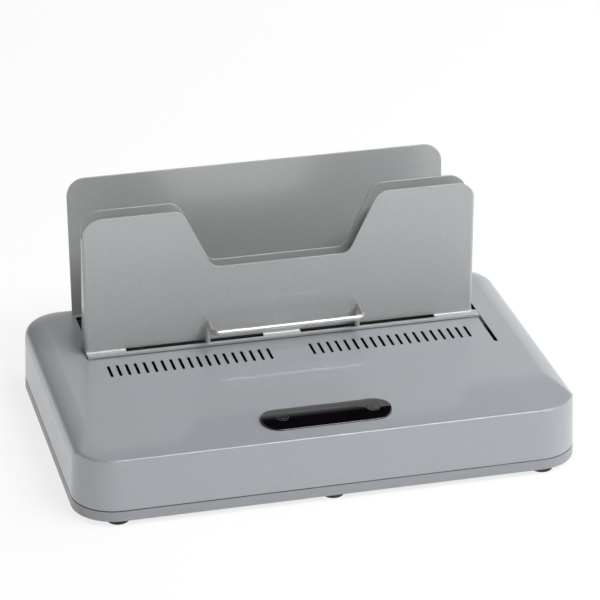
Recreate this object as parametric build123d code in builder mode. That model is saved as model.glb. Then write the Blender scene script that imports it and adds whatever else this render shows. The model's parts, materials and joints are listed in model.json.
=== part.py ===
from build123d import *
import math
import os

# A desk-top thermal binding machine. Millimetres, +Z up, +Y to the back.
# The origin is on the table, under the middle of the base.

# ---------------------------------------------------------------- driving sizes
base_width = 364.0
base_depth = 246.0
wall_draft = 1.5  # how far each wall leans in, from the base to the front edge
corner_radius = 31.0
foot_height = 4.0
parting_height = 7.7  # of the lower casing
front_edge_height = 46.2  # above the base
front_edge_radius = 0.8
crown_rise = 3.3  # from the front edge up to the deck
crown_inset = 10.5  # width of the sloping band at the sides and the back
crown_radius = 7.5
crown_soft_radius = 26.0
front_slope = 44.5  # depth of the sloping front
slope_blend = 6.0
slope_reach = 30.0  # how far the cut that makes the slope runs past the casing
casing_wall = 2.5
lip_wall = 1.2
lip_height = 2.0
lip_clearance = 0.3
parting_bevel = 0.4

foot_radius = 8.2
foot_inset_x = 29.0
foot_front_inset = 9.8
foot_back_inset = 15.0
foot_recess = 1.0

boss_radius = 4.0
boss_inset = 14.0
boss_corner_step = 22.0
front_boss_x = 62.0
back_boss_x = 40.0
screw_radius = 1.5
screw_head_radius = 2.75
screw_head_height = 1.8
pilot_radius = 1.55
screw_clearance = 0.25

well_side_margin = 40.5  # from the base's side to the heating well
well_back_margin = 22.0
well_depth = 71.5
well_corner = 2.0
tray_gap = 0.3
tray_setback_front = 0.8
tray_setback_back = 3.2
tray_wall = 1.0
tray_end_gap = 0.5
tray_underside = 20.0
plate_depth_below_deck = 20.0
plate_thickness = 6.0
heater_thickness = 2.0
plate_clearance = 0.8
post_side_inset = 45.5
post_inset = 12.0
post_radius = 5.0
plate_screw_step = 12.0
plate_screw_inset = 17.5

sheet = 1.2
support_height = 106.2
support_corner = 14.0
notch_top = 146.0
notch_bottom = 101.0
notch_floor = 59.9
notch_top_radius = 11.0
notch_bottom_radius = 9.0
front_overhang = 4.5  # past the well at each end
front_setback = 6.0  # of its face, behind the well's front edge
front_lift = 0.5  # the front support's gap above the deck
front_travel = 40.0
flange_depth = 7.7
flange_end_inset = 0.4
lip_depth = 1.2
lip_rise = 1.0
lip_edge_radius = 0.5
bend_radius = 2.4
gusset_bottom = 13.9
gusset_top = 3.0
gusset_drop = 16.0
slit_near = 14.0
slit_end_inset = 29.5
slit_depth = 3.3
slit_rise = 0.9
glide_clearance = 0.1
glide_inset = 0.8

wire_radius = 2.0
handle_width = 112.6
handle_leg_setback = 4.5
handle_reach = 19.1
handle_height = 20.0
handle_drop = 1.5  # the grip sits lower than the tops of the legs
handle_bend = 4.2

document_gap = 7.3  # between the front and the middle support
middle_side_gap = 0.5
support_lean = 4.0
skirt_plate_gap = 1.5
middle_lift = 0.4
arm_height = 5.0
arm_reach = 10.0
arm_slot_gap = 0.8
arm_screw_length = 8.0

rear_overhang = 1.6
rear_tab_width = 30.0
rear_tab_inset = 68.1
rear_tab_drop = 26.0
rear_screw_step = 8.0
rear_screw_z = 40.0
deck_slot_clearance = 0.3

vent_count = 19  # on each side of the middle
vent_first = 15.9
vent_side_margin = 48.3
vent_width = 2.2
vent_length = 18.0
vent_setback = 22.9  # from the well's front edge

guide_slot_side_margin = 32.4
guide_slot_width = 2.8
guide_slot_length = 66.5
slot_end_clearance = 2.0
tongue_side_clearance = 0.2
tongue_front_inset = 0.2
tongue_length = 9.4

rod_radius = 2.5
rod_fit = 0.05
rod_side_margin = 25.0
front_rod_z = 45.5
middle_rod_z = 35.0
rod_back_margin = 13.5
stop_clearance = 1.5  # between a carriage at its limit and the bracket
bracket_thickness = 4.0
bracket_width = 17.0
bracket_foot = 12.0
bracket_foot_height = 3.0
bracket_screw_x = 5.0
carriage_width = 12.0
carriage_height = 9.0
front_carriage_length = 22.0
front_screw_length = 3.5
front_screw_inset = 3.5
middle_carriage_length = 15.0
middle_carriage_inset = 3.0
bracket_pad_height = 3.0
bracket_margin = 2.0
bracket_round = 6.0

panel_length = 94.0
panel_width = 28.0
panel_front_margin = 29.2
panel_rise = 2.2
panel_roundness = 60.0
panel_rim_radius = 0.6
panel_seat = 1.2
panel_ledge = 3.0
panel_gap = 0.25
panel_skirt_wall = 1.5
panel_skirt_drop = 3.0
button_radius = 4.7
button_x = -31.5
button_gap = 0.35
button_travel = 0.8
indicator_radius = 5.2
indicator_x = 34.0
window_gap = 0.1
light_flange = 1.2
light_flange_height = 1.0
switch_board_drop = 10.0
switch_board_length = 84.0
switch_board_width = 15.0
board_thickness = 1.6
switch_side = 6.0
switch_height = 3.2
plunger_radius = 1.6
plunger_gap = 0.3
plunger_rise = 1.0
plunger_depth = 1.2
light_height = 6.0
panel_boss_x = 14.0
panel_boss_radius = 3.0

inlet_side_margin = 64.0
inlet_z = 25.0
inlet_width = 27.0
inlet_height = 19.6
inlet_flange_width = 34.0
inlet_flange_height = 24.0
inlet_flange = 1.5
inlet_recess = 1.3
inlet_body_depth = 14.0
inlet_wall = 2.2
inlet_blade_width = 4.0
inlet_blade_thickness = 2.0
inlet_blade_spacing = 7.0
inlet_blade_drop = 2.0
inlet_clip = 1.2
inlet_tab = 4.8
inlet_tab_length = 7.0
tab_thickness = 0.8

board_x = -6.0
board_front_margin = 61.0
board_length = 150.0
board_width = 62.0
board_post_height = 6.0
board_hole_inset = 5.0
transformer_length = 41.0
transformer_width = 35.0
transformer_height = 28.0
transformer_step = -46.0  # steps are taken from the board's middle
relay_length = 29.0
relay_width = 13.0
relay_height = 16.0
relay_step = -4.0
relay_back_step = 11.0
sink_length = 24.0
sink_base = 3.0
sink_height = 22.0
sink_step = 46.0
fin_count = 5
fin_depth = 8.0
fin_thickness = 1.2
triac_width = 10.0
triac_thickness = 4.4
triac_height = 19.0
capacitor_radius = 8.0
capacitor_height = 24.0
capacitor_step = -6.0
capacitor_back_step = -10.0
buzzer_radius = 6.0
buzzer_height = 9.0
buzzer_step = 22.0
buzzer_back_step = -17.0
cable_setback = 3.8
cable_width = 14.0
cable_gap = 0.1

terminal_step = 10.0
terminal_pitch = 8.0
terminal_depth = 10.0
terminal_height = 12.0
lead_radius = 1.25
lead_z = 16.5
lead_turn = 3.5
lead_step = 6.0
lead_run = 38.0
lead_hole_radius = 1.6
thermostat_radius = 8.0
thermostat_cap_radius = 4.0
thermostat_height = 9.0
thermostat_tab = 5.0
fuse_radius = 2.0
fuse_length = 14.0
fuse_setback = 14.5
fuse_clip_length = 6.0

# ---------------------------------------------------------------- derived sizes
base_z = foot_height
parting_z = base_z + parting_height
front_edge_z = base_z + front_edge_height
deck_z = front_edge_z + crown_rise
deck_under = deck_z - casing_wall
floor_top = base_z + casing_wall
top_half_width = base_width / 2 - wall_draft
top_half_depth = base_depth / 2 - wall_draft
slope_angle = math.degrees(math.atan2(crown_rise, front_slope))
slope_top_y = front_slope - top_half_depth
lean = math.radians(support_lean)

well_width = base_width - 2 * well_side_margin
well_back = base_depth / 2 - well_back_margin
well_front = well_back - well_depth
well_y = (well_front + well_back) / 2
plate_top = deck_z - plate_depth_below_deck
plate_bottom = plate_top - plate_thickness
heater_bottom = plate_bottom - heater_thickness
tray_floor_top = tray_underside + tray_wall
tray_half = well_width / 2 + tray_end_gap
tray_front = well_front - tray_setback_front
tray_back = well_back + tray_setback_back
tray_y = (tray_front + tray_back) / 2
tray_top = deck_under - tray_gap
post_x = well_width / 2 - post_side_inset
plate_screw_x = post_x - plate_screw_step

front_bottom = deck_z + front_lift
front_top = deck_z + support_height
front_width = well_width + 2 * front_overhang
front_half = front_width / 2
front_face_y = well_front + front_setback
gusset_inner = front_half - sheet
flange_front = front_face_y - flange_depth
flange_half = front_half - flange_end_inset
slit_far = front_half - slit_end_inset
slit_y = front_face_y + (sheet - slit_depth) / 2
glide_y = front_face_y - flange_depth / 2
flange_top = front_bottom + sheet
middle_face_y = front_face_y + sheet + document_gap
middle_half = gusset_inner - middle_side_gap
middle_bottom = plate_top + skirt_plate_gap
skirt_half = well_width / 2 - tray_end_gap - 1.5
arm_end = tray_half + tray_wall + arm_reach
arm_screw_x = arm_end - 3.5
arm_screw_z = middle_bottom + arm_height / 2
guide_slot_x = base_width / 2 - guide_slot_side_margin
tongue_inner = guide_slot_x - guide_slot_width / 2 + tongue_side_clearance
tongue_front = flange_front + tongue_front_inset
tongue_bottom = front_rod_z - carriage_height / 2
guide_slot_front = tongue_front - front_travel - slot_end_clearance
guide_slot_y = guide_slot_front + guide_slot_length / 2
carriage_inner = tongue_inner + sheet
front_carriage_y = tongue_front + (tongue_length - front_carriage_length) / 2
front_screw_y = [
    front_carriage_y + front_screw_inset,
    front_carriage_y + front_carriage_length - front_screw_inset,
]
rod_x = base_width / 2 - rod_side_margin
rod_front = front_carriage_y - front_travel - stop_clearance - bracket_thickness
rod_back = base_depth / 2 - rod_back_margin
bore_radius = rod_radius + rod_fit
middle_carriage_y = middle_face_y + sheet
middle_stop_y = rod_back - bracket_thickness - stop_clearance
middle_travel = middle_stop_y - middle_carriage_y - middle_carriage_length
arm_slot_y = middle_face_y + (sheet + middle_travel) / 2
arm_slot_length = sheet + middle_travel + 2.0
bracket_seat_z = floor_top + bracket_pad_height
rear_face_y = tray_back + tray_wall
rear_width = well_width + 2 * rear_overhang
rear_tab_x = rear_width / 2 - rear_tab_inset
vent_pitch = (base_width / 2 - vent_side_margin - vent_first) / (vent_count - 1)
vent_y = well_front - vent_setback
panel_y = panel_front_margin - base_depth / 2
lip_inset = casing_wall + lip_clearance
inlet_x = base_width / 2 - inlet_side_margin
inlet_seat_y = base_depth / 2 - wall_draft * (inlet_z - base_z) / front_edge_height - inlet_recess
inlet_back_y = inlet_seat_y - inlet_body_depth
inlet_tab_y = inlet_back_y - inlet_tab_length
board_y = board_front_margin - base_depth / 2
fuse_y = well_front + fuse_setback


def inset_at(z):
    """How far the leaning wall stands in from the base outline at height z."""
    return wall_draft * (z - base_z) / front_edge_height


def wall_block(bottom, top, shrink, top_shrink=None):
    """A solid with the casing's leaning walls, drawn in by shrink, or tapering to top_shrink."""
    shrinks = (shrink, shrink if top_shrink is None else top_shrink)
    with BuildPart() as block:
        for z, drawn_in in zip((bottom, top), shrinks):
            inset = inset_at(z) + drawn_in
            with BuildSketch(Plane.XY.offset(z)):
                RectangleRounded(
                    base_width - 2 * inset, base_depth - 2 * inset, corner_radius - inset
                )
        loft(ruled=True)
    return block.part


def crown_form(shrink):
    """The casing's top, open to the front: side bands, rounded shoulders and flat deck."""
    margin = 0.12
    half = top_half_width + margin - shrink
    back = top_half_depth + margin - shrink
    front = -base_depth
    radius = corner_radius - wall_draft + margin - shrink
    shoulder = crown_radius - shrink * 0.6
    band_z = front_edge_z - shrink
    middle = (back + front) / 2
    with BuildPart() as form:
        with BuildSketch(Plane.XY.offset(band_z - 2 * crown_radius)):
            with Locations((0, middle)):
                RectangleRounded(2 * half, back - front, radius)
        extrude(amount=2 * crown_radius)
        with BuildSketch(Plane.XY.offset(band_z)):
            with Locations((0, middle)):
                RectangleRounded(2 * half, back - front, radius)
        with BuildSketch(Plane.XY.offset(band_z + crown_rise)):
            with Locations((0, middle)):
                RectangleRounded(
                    2 * (half - crown_inset), back - front - 2 * crown_inset, radius - crown_inset
                )
        loft(ruled=True)
        shoulder_edges = form.edges().filter_by_position(Axis.Z, band_z - 0.01, band_z + 0.01)
        fillet(shoulder_edges, shoulder)
        fillet(form.edges().group_by(Axis.Z)[-1], crown_soft_radius)
    return form.part


def crown_cut(shrink):
    """What is taken off a sharp block to leave the crown."""
    low = front_edge_z - shrink - 2 * crown_radius + 8.0
    high = deck_z + 20
    with BuildPart() as cut:
        with BuildSketch(Plane.XY.offset(low)):
            Rectangle(1.5 * base_width, 1.5 * base_depth)
        extrude(amount=high - low)
        add(crown_form(shrink), mode=Mode.SUBTRACT)
    return cut.part


def slope_cut(shrink):
    """What is taken off in front to leave the sloping band, blended into the deck."""
    rise = math.tan(math.radians(slope_angle))
    top = deck_z - shrink
    front_y = slope_top_y - front_slope - slope_reach
    front_z = top - (front_slope + slope_reach) * rise
    with BuildPart() as cut:
        with BuildSketch(Plane.YZ):
            with BuildLine():
                low = (front_y, front_z)
                start = (slope_top_y - slope_blend, top - slope_blend * rise)
                end = (slope_top_y + slope_blend, top)
                Line(low, start)
                TangentArc(start, end, tangent=(1, rise))
                Polyline(end, (end[0], top + slope_reach), (front_y, top + slope_reach), low)
            make_face()
        extrude(amount=base_width, both=True)
    return cut.part


def shell_form(bottom, shrink):
    """The top casing's outer shape, or with shrink its hollow."""
    with BuildPart() as form:
        add(wall_block(bottom, deck_z - shrink, shrink))
        add(crown_cut(shrink), mode=Mode.SUBTRACT)
        add(slope_cut(shrink), mode=Mode.SUBTRACT)
    return form.part


def support_outline(half, bottom, notched):
    """The outline of an upright support, seen from the front, from bottom up."""
    points = [(-half, bottom), (-half, front_top)]
    radii = [0, support_corner]
    if notched:
        floor_z = deck_z + notch_floor
        points += [(-notch_top / 2, front_top), (-notch_bottom / 2, floor_z)]
        points += [(notch_bottom / 2, floor_z), (notch_top / 2, front_top)]
        radii += [notch_top_radius, notch_bottom_radius]
        radii += [notch_bottom_radius, notch_top_radius]
    points += [(half, front_top), (half, bottom)]
    radii += [support_corner, 0]
    with BuildSketch() as face:
        with BuildLine():
            Polyline(*points, close=True)
        make_face()
        for point, radius in zip(points, radii):
            if radius > 0:
                corner = face.vertices().sort_by_distance(Vector(*point))[0]
                fillet(corner, radius)
    return face.sketch


def bent_sheet(face_y, bottom, bend, half):
    """A sheet that stands upright up to the bend and leans back above it."""
    back_y = face_y + (front_top - bend) * math.tan(lean)
    thickness = sheet / math.cos(lean)
    with BuildPart() as bent:
        with BuildSketch(Plane.YZ):
            with BuildLine():
                Polyline(
                    (face_y, bottom),
                    (face_y, bend),
                    (back_y, front_top),
                    (back_y + thickness, front_top),
                    (face_y + sheet, bend),
                    (face_y + sheet, bottom),
                    close=True,
                )
            make_face()
        extrude(amount=half, both=True)
    return bent.part


def screw(length):
    """A pan-head screw standing on its head's seat, shank down."""
    with BuildPart() as body:
        with BuildSketch(Plane.XY.offset(-length)):
            Circle(screw_radius)
        extrude(amount=length)
        with BuildSketch(Plane.XY):
            Circle(screw_head_radius)
        extrude(amount=screw_head_height)
        fillet(body.edges().group_by(Axis.Z)[-1], screw_head_height * 0.4)
        with BuildSketch(Plane.XY.offset(screw_head_height)):
            Rectangle(0.6, screw_head_radius * 1.2)
            Rectangle(screw_head_radius * 1.2, 0.6)
        extrude(amount=-screw_head_height * 0.5, mode=Mode.SUBTRACT)
    return body.part


def screws_at(planes, length):
    """Separate screws, one on each plane, heads along the plane's normal."""
    one = screw(length)
    return Compound(children=[plane.location * one for plane in planes])


def save(shape, name):
    shape.label = name
    export_step(shape, f"parts/{name}.step")


os.makedirs("parts", exist_ok=True)

# ---------------------------------------------------------------- places shared by pieces
boss_x = base_width / 2 - boss_inset
boss_y = base_depth / 2 - boss_inset
boss_places = [
    (x, y)
    for x in (-boss_x, boss_x)
    for y in (boss_corner_step - boss_y, boss_y - boss_corner_step)
]
boss_places += [(-front_boss_x, -boss_y - 2), (front_boss_x, -boss_y - 2)]
boss_places += [(-back_boss_x, boss_y + 2), (back_boss_x, boss_y + 2)]
foot_places = [
    (x, y)
    for x in (-base_width / 2 + foot_inset_x, 0, base_width / 2 - foot_inset_x)
    for y in (-base_depth / 2 + foot_front_inset, base_depth / 2 - foot_back_inset)
]
vent_places = [
    (side * (vent_first + i * vent_pitch), vent_y) for side in (-1, 1) for i in range(vent_count)
]
rear_tabs = [-rear_tab_x, rear_tab_x]
panel_z = front_edge_z + (panel_y + top_half_depth) * math.tan(math.radians(slope_angle))
panel_plane = Plane(
    origin=(0, panel_y, panel_z),
    x_dir=(1, 0, 0),
    z_dir=(0, -math.sin(math.radians(slope_angle)), math.cos(math.radians(slope_angle))),
)
inlet_plane = Plane(origin=(inlet_x, inlet_seat_y, inlet_z), x_dir=(-1, 0, 0), z_dir=(0, 1, 0))
inlet_clip_set = inset_at(inlet_z + inlet_height / 6) - inset_at(inlet_z) + casing_wall + 0.1
inlet_clip_set -= inlet_recess
inlet_pin_places = [
    (-inlet_blade_spacing, -inlet_blade_drop),
    (0, inlet_blade_drop),
    (inlet_blade_spacing, -inlet_blade_drop),
]
inlet_lead_x = [inlet_x - inlet_blade_spacing, inlet_x, inlet_x + inlet_blade_spacing]
post_places = [
    (x, y)
    for x in (-post_x, post_x)
    for y in (well_front + post_inset, well_back - post_inset)
]
plate_screw_places = [
    (x, y)
    for x in (-plate_screw_x, plate_screw_x)
    for y in (well_front + plate_screw_inset, well_back - plate_screw_inset)
]
rear_screw_places = [
    (x + side * rear_screw_step, rear_screw_z) for x in rear_tabs for side in (-1, 1)
]
terminal_x = [board_x + terminal_step + i * terminal_pitch for i in range(6)]
terminal_margin = terminal_pitch / 2
fuse_x = terminal_x[1]
thermostat_lead_x = terminal_x[2:4]
thermostat_x = sum(thermostat_lead_x) / 2
heater_lead_exits = [(terminal_x[0], well_front + 12), (fuse_x, well_y + 8.5)]
board_half_x = board_length / 2 - board_hole_inset
board_half_y = board_width / 2 - board_hole_inset
board_holes = [
    (board_x + side * board_half_x, board_y + end * board_half_y)
    for side in (-1, 1)
    for end in (-1, 1)
]
board_underside = floor_top + board_post_height
board_top = board_underside + board_thickness
bracket_places = {
    "rod_bracket_left_front": (-rod_x, rod_front),
    "rod_bracket_left_rear": (-rod_x, rod_back - bracket_thickness),
    "rod_bracket_right_front": (rod_x, rod_front),
    "rod_bracket_right_rear": (rod_x, rod_back - bracket_thickness),
}
bracket_middles = [
    (x, y)
    for x in (-rod_x, rod_x)
    for y in (
        rod_front + (bracket_thickness + bracket_foot) / 2,
        rod_back - (bracket_thickness + bracket_foot) / 2,
    )
]
bracket_screw_places = [
    (x + side * bracket_screw_x, foot_y)
    for x in (-rod_x, rod_x)
    for side in (-1, 1)
    for foot_y in (
        rod_front + bracket_thickness + bracket_foot / 2,
        rod_back - bracket_thickness - bracket_foot / 2,
    )
]

# ---------------------------------------------------------------- top casing
with BuildPart() as top_casing:
    add(shell_form(parting_z + parting_bevel, 0))
    add(wall_block(parting_z, parting_z + parting_bevel, parting_bevel, 0))
    add(shell_form(parting_z - 1, casing_wall), mode=Mode.SUBTRACT)
    # screw bosses, from the deck down to the lower casing's posts
    with BuildSketch(Plane.XY.offset(parting_z + lip_height)):
        with Locations(*boss_places):
            Circle(boss_radius)
    extrude(until=Until.NEXT)
    # openings in the deck
    with BuildSketch(Plane.XY.offset(deck_under - 1)):
        with Locations((0, well_y)):
            RectangleRounded(well_width, well_depth, well_corner)
        with Locations(*vent_places):
            SlotOverall(vent_length, vent_width, rotation=90)
        with Locations((guide_slot_x, guide_slot_y)):
            SlotOverall(guide_slot_length, guide_slot_width, rotation=90)
        with Locations(*[(x, rear_face_y + sheet / 2) for x in rear_tabs]):
            Rectangle(rear_tab_width + 2 * deck_slot_clearance, sheet + 2 * deck_slot_clearance)
    extrude(amount=casing_wall + 2, mode=Mode.SUBTRACT)
    # seat and opening of the control panel
    with BuildSketch(panel_plane.offset(-panel_seat)):
        SlotOverall(panel_length + 2 * panel_gap, panel_width + 2 * panel_gap)
    extrude(amount=10, mode=Mode.SUBTRACT)
    with BuildSketch(panel_plane):
        SlotOverall(panel_length - 2 * panel_ledge, panel_width - 2 * panel_ledge)
    extrude(amount=-10, mode=Mode.SUBTRACT)
    # recess and opening of the power inlet in the back wall
    with BuildSketch(inlet_plane):
        Rectangle(inlet_flange_width + 2 * panel_gap, inlet_flange_height + 2 * panel_gap)
    extrude(amount=10, mode=Mode.SUBTRACT)
    with BuildSketch(inlet_plane):
        Rectangle(inlet_width + 2 * panel_gap, inlet_height + 2 * panel_gap)
    extrude(amount=-10, mode=Mode.SUBTRACT)
    # pilot holes
    with BuildSketch(Plane.XY.offset(parting_z)):
        with Locations(*boss_places):
            Circle(pilot_radius)
    extrude(amount=14, mode=Mode.SUBTRACT)
    # soft edge between the front wall and the slope
    near_edge = top_casing.edges().filter_by_position(Axis.Z, front_edge_z - 0.1, front_edge_z + 0.1)
    fillet(near_edge.filter_by(Axis.X).sort_by(Axis.Y)[0], front_edge_radius)
save(top_casing.part, "top_casing")

# ---------------------------------------------------------------- lower casing
with BuildPart() as lower_casing:
    add(wall_block(base_z, parting_z + lip_height, lip_inset))
    add(wall_block(base_z, parting_z - parting_bevel, 0))
    add(wall_block(parting_z - parting_bevel, parting_z, 0, parting_bevel))
    add(wall_block(floor_top, parting_z + lip_height + 1, lip_inset + lip_wall), mode=Mode.SUBTRACT)
    # posts: under the top casing's bosses, under the tray and under the board
    with BuildSketch(Plane.XY.offset(floor_top)):
        with Locations(*boss_places):
            Circle(boss_radius)
    extrude(amount=parting_z + lip_height - floor_top)
    with BuildSketch(Plane.XY.offset(floor_top)):
        with Locations(*post_places):
            Circle(post_radius)
    extrude(amount=tray_underside - floor_top)
    with BuildSketch(Plane.XY.offset(floor_top)):
        with Locations(*board_holes):
            Circle(3.0)
    extrude(amount=board_post_height)
    # pads under the rod brackets
    with BuildSketch(Plane.XY.offset(floor_top)):
        with Locations(*bracket_middles):
            Rectangle(bracket_width, bracket_thickness + bracket_foot)
    extrude(amount=bracket_pad_height)
    # recesses for the feet
    with BuildSketch(Plane.XY.offset(base_z)):
        with Locations(*foot_places):
            Circle(foot_radius + 0.2)
    extrude(amount=foot_recess, mode=Mode.SUBTRACT)
    # casing screw holes, with their heads sunk in the posts
    with BuildSketch(Plane.XY.offset(base_z)):
        with Locations(*boss_places):
            Circle(screw_radius + screw_clearance)
    extrude(amount=20, mode=Mode.SUBTRACT)
    with BuildSketch(Plane.XY.offset(base_z)):
        with Locations(*boss_places):
            Circle(screw_head_radius + screw_clearance)
    extrude(amount=screw_head_height + 0.4, mode=Mode.SUBTRACT)
    with BuildSketch(Plane.XY.offset(tray_underside)):
        with Locations(*post_places):
            Circle(pilot_radius)
    extrude(amount=-9, mode=Mode.SUBTRACT)
    with BuildSketch(Plane.XY.offset(board_underside)):
        with Locations(*board_holes):
            Circle(pilot_radius)
    extrude(amount=-5, mode=Mode.SUBTRACT)
    with BuildSketch(Plane.XY.offset(bracket_seat_z)):
        with Locations(*bracket_screw_places):
            Circle(pilot_radius)
    extrude(amount=-bracket_pad_height - 1, mode=Mode.SUBTRACT)
save(lower_casing.part, "lower_casing")

# ---------------------------------------------------------------- feet
with BuildPart() as rubber_feet:
    with BuildSketch(Plane.XY):
        with Locations(*foot_places):
            Circle(foot_radius)
    extrude(amount=foot_height + foot_recess)
    fillet(rubber_feet.edges().group_by(Axis.Z)[0], 1.8)
save(rubber_feet.part, "rubber_feet")

casing_screw_seat = base_z + screw_head_height + 0.4
casing_screw_planes = [
    Plane(origin=(x, y, casing_screw_seat), z_dir=(0, 0, -1)) for x, y in boss_places
]
save(screws_at(casing_screw_planes, 16), "casing_screws")

# ---------------------------------------------------------------- heater
with BuildPart() as heater_tray:
    with BuildSketch(Plane.XY.offset(tray_underside)):
        with Locations((0, tray_y)):
            Rectangle(2 * (tray_half + tray_wall), tray_back - tray_front + 2 * tray_wall)
    extrude(amount=tray_top - tray_underside)
    with BuildSketch(Plane.XY.offset(tray_floor_top)):
        with Locations((0, tray_y)):
            Rectangle(2 * tray_half, tray_back - tray_front)
    extrude(amount=tray_top, mode=Mode.SUBTRACT)
    # slots in the end walls for the middle support's arms
    with BuildSketch(Plane.YZ):
        with Locations((arm_slot_y, middle_bottom + arm_height / 2)):
            Rectangle(arm_slot_length, arm_height + 2 * arm_slot_gap)
    extrude(amount=base_width / 2, both=True, mode=Mode.SUBTRACT)
    # screw holes and openings in the floor
    with BuildSketch(Plane.XY.offset(tray_underside - 1)):
        with Locations(*post_places, *plate_screw_places):
            Circle(screw_radius + screw_clearance)
        with Locations((thermostat_x, well_y)):
            Circle(thermostat_cap_radius + 0.3)
        with Locations(*heater_lead_exits):
            Circle(lead_hole_radius)
    extrude(amount=tray_wall + 2, mode=Mode.SUBTRACT)
    with BuildSketch(Plane.XZ.offset(-tray_back - tray_wall - 1)):
        with Locations(*rear_screw_places):
            Circle(pilot_radius)
    extrude(amount=tray_wall + 2, mode=Mode.SUBTRACT)
save(heater_tray.part, "heater_tray")

tray_screw_planes = [Plane(origin=(x, y, tray_floor_top)) for x, y in post_places]
save(screws_at(tray_screw_planes, 8), "tray_screws")

insert_half = tray_half - plate_clearance
insert_depth = tray_back - tray_front - 2 * plate_clearance
with BuildPart() as insulation_board:
    with BuildSketch(Plane.XY.offset(tray_floor_top)):
        with Locations((0, tray_y)):
            Rectangle(2 * insert_half, insert_depth)
        with Locations(*post_places):
            Circle(screw_head_radius + 0.8, mode=Mode.SUBTRACT)
        with Locations(*plate_screw_places):
            Circle(screw_radius + screw_clearance, mode=Mode.SUBTRACT)
        with Locations((thermostat_x, well_y)):
            Circle(thermostat_cap_radius + 0.5, mode=Mode.SUBTRACT)
        with Locations(*heater_lead_exits):
            Circle(lead_hole_radius, mode=Mode.SUBTRACT)
    extrude(amount=heater_bottom - tray_floor_top)
save(insulation_board.part, "insulation_board")

with BuildPart() as heater_element:
    with BuildSketch(Plane.XY.offset(heater_bottom)):
        with Locations((0, tray_y)):
            RectangleRounded(2 * (insert_half - 3), insert_depth - 6, 3)
        with Locations(*plate_screw_places):
            Circle(screw_radius + 1.5, mode=Mode.SUBTRACT)
        with Locations((thermostat_x, well_y)):
            Circle(thermostat_cap_radius + 1.0, mode=Mode.SUBTRACT)
    extrude(amount=heater_thickness)
save(heater_element.part, "heater_element")

with BuildPart() as heating_plate:
    with BuildSketch(Plane.XY.offset(plate_bottom)):
        with Locations((0, tray_y)):
            RectangleRounded(2 * insert_half, insert_depth, 2)
    extrude(amount=plate_thickness)
    fillet(heating_plate.edges().group_by(Axis.Z)[-1], 1.0)
    with BuildSketch(Plane.XY.offset(plate_bottom)):
        with Locations(*plate_screw_places):
            Circle(pilot_radius)
    extrude(amount=plate_thickness - 2, mode=Mode.SUBTRACT)
save(heating_plate.part, "heating_plate")

plate_screw_planes = [
    Plane(origin=(x, y, tray_underside), z_dir=(0, 0, -1)) for x, y in plate_screw_places
]
save(screws_at(plate_screw_planes, plate_bottom - tray_underside + 3), "plate_screws")

with BuildPart() as thermostat:
    with BuildSketch(Plane.XY.offset(tray_underside)):
        with Locations((thermostat_x, well_y)):
            Circle(thermostat_radius)
    extrude(amount=-thermostat_height)
    with BuildSketch(Plane.XY.offset(tray_underside)):
        with Locations((thermostat_x, well_y)):
            Circle(thermostat_cap_radius)
    extrude(amount=plate_bottom - tray_underside)
    for x in thermostat_lead_x:
        with BuildSketch(Plane.XZ.offset(-well_y)):
            with Locations((x, lead_z)):
                Rectangle(4.8, 0.8)
        extrude(amount=thermostat_radius + thermostat_tab)
save(thermostat.part, "thermostat")

with BuildPart() as thermal_fuse:
    with BuildSketch(Plane.XZ.offset(-fuse_y - fuse_length / 2)):
        with Locations((fuse_x, lead_z)):
            Circle(fuse_radius)
    extrude(amount=fuse_length)
    fillet(thermal_fuse.edges(), 0.6)
save(thermal_fuse.part, "thermal_fuse")

with BuildPart() as fuse_clip:
    with BuildSketch(Plane.XZ.offset(-fuse_y - fuse_clip_length / 2)):
        clip_low = lead_z - fuse_radius - 1.0
        with Locations((fuse_x, (clip_low + tray_underside) / 2)):
            Rectangle(2 * fuse_radius + 4, tray_underside - clip_low)
        with Locations((fuse_x, lead_z)):
            Circle(fuse_radius + 0.05, mode=Mode.SUBTRACT)
    extrude(amount=fuse_clip_length)
save(fuse_clip.part, "fuse_clip")

# ---------------------------------------------------------------- guide rods and brackets
rod_places = {
    "guide_rod_left": (-rod_x, middle_rod_z),
    "guide_rod_right_lower": (rod_x, middle_rod_z),
    "guide_rod_right_upper": (rod_x, front_rod_z),
}
for name, (x, z) in rod_places.items():
    with BuildPart() as guide_rod:
        with BuildSketch(Plane.XZ.offset(-rod_back)):
            with Locations((x, z)):
                Circle(rod_radius)
        extrude(amount=rod_back - rod_front)
        chamfer(guide_rod.edges().filter_by(GeomType.CIRCLE), 0.4)
    save(guide_rod.part, name)

for name, (x, y) in bracket_places.items():
    heights = [middle_rod_z, front_rod_z] if x > 0 else [middle_rod_z]
    inward = 1 if y < well_front else -1
    middle_y = y + bracket_thickness / 2 + inward * bracket_foot / 2
    with BuildPart() as rod_bracket:
        with BuildSketch(Plane.XY.offset(bracket_seat_z)):
            with Locations((x, y + bracket_thickness / 2)):
                Rectangle(bracket_width, bracket_thickness)
        extrude(amount=heights[-1] + rod_radius + bracket_margin - bracket_seat_z)
        fillet(rod_bracket.edges().group_by(Axis.Z)[-1].filter_by(Axis.Y), bracket_round)
        with BuildSketch(Plane.XY.offset(bracket_seat_z)):
            with Locations((x, middle_y)):
                Rectangle(bracket_width, bracket_thickness + bracket_foot)
        extrude(amount=bracket_foot_height)
        with BuildSketch(Plane.XZ.offset(-y - bracket_thickness - 1)):
            with Locations(*[(x, z) for z in heights]):
                Circle(rod_radius + rod_fit)
        extrude(amount=bracket_thickness + 2, mode=Mode.SUBTRACT)
        with BuildSketch(Plane.XY.offset(bracket_seat_z)):
            with Locations(*bracket_screw_places):
                Circle(screw_radius + screw_clearance)
        extrude(amount=bracket_foot_height, mode=Mode.SUBTRACT)
    save(rod_bracket.part, name)
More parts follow.
